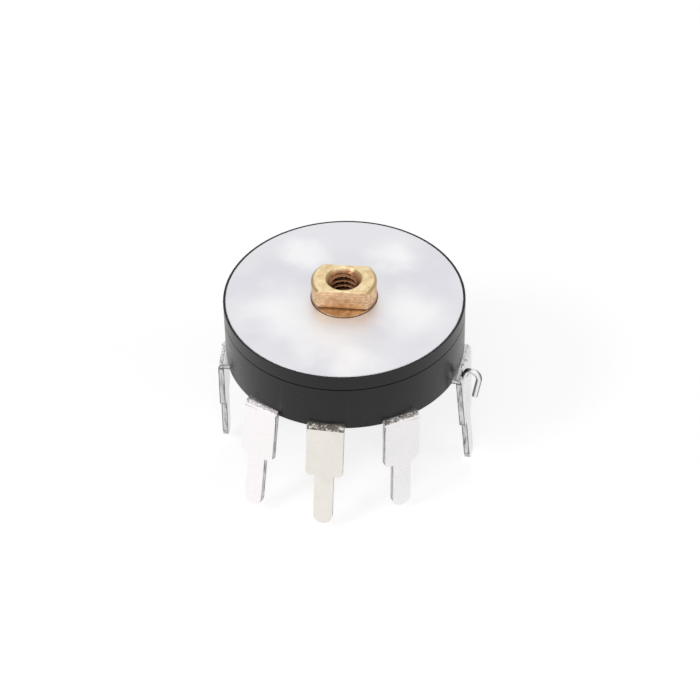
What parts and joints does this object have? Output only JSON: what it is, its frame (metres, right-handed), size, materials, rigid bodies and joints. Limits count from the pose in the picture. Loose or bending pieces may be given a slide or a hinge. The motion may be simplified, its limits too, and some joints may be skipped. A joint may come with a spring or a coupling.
{
  "type": "switched potentiometer",
  "caption": "Round disc-type rotary potentiometer with an on-off switch, a tapped double-flat brass shaft, a metal cover plate and bent solder terminals.",
  "frame": {"origin": "centre of the housing's underside", "axes": "+Z along the shaft, out of the cover plate; -Y towards the row of track terminals"},
  "size_m": [0.0175, 0.0178, 0.0135],
  "materials": {
    "black_plastic": "moulded, slightly glossy",
    "plate_metal": "dull plated sheet",
    "shaft_brass": "turned and milled",
    "rotor_plastic": "moulded",
    "spring_bronze": "rolled sheet",
    "terminal_metal": "tinned sheet with sheared edges",
    "spring_steel": "drawn wire",
    "washer_steel": "pressed sheet",
    "board_laminate": "phenolic paper laminate",
    "carbon_print": "printed carbon ink",
    "silver_print": "printed silver ink",
    "contact_silver": "silver-plated button"
  },
  "bodies": {
    "housing": {"housing": "black_plastic", "cover_plate": "plate_metal", "spring_washer": "washer_steel", "element_board": "board_laminate", "carbon_track": "carbon_print", "collector_ring": "silver_print", "start_pad": "silver_print", "end_pad": "silver_print", "switch_terminal_left": "terminal_metal", "track_terminal_start": "terminal_metal", "wiper_terminal": "terminal_metal", "track_terminal_end": "terminal_metal", "switch_terminal_right": "terminal_metal", "terminal_rivets": "washer_steel", "switch_blade": "spring_bronze", "moving_contact": "contact_silver", "fixed_strip": "spring_bronze", "fixed_contact": "contact_silver", "click_spring": "spring_steel"},
    "shaft": {"shaft": "shaft_brass", "rotor": "rotor_plastic", "wiper": "spring_bronze"}
  },
  "joints": [
    {"name": "shaft_turn", "type": "hinge", "parent": "housing", "child": "shaft", "pos_m": [0, 0, 0], "axis": [0, 0, -1], "range_deg": [0, 300], "deforming": ["switch_blade", "moving_contact", "click_spring"]}
  ]
}
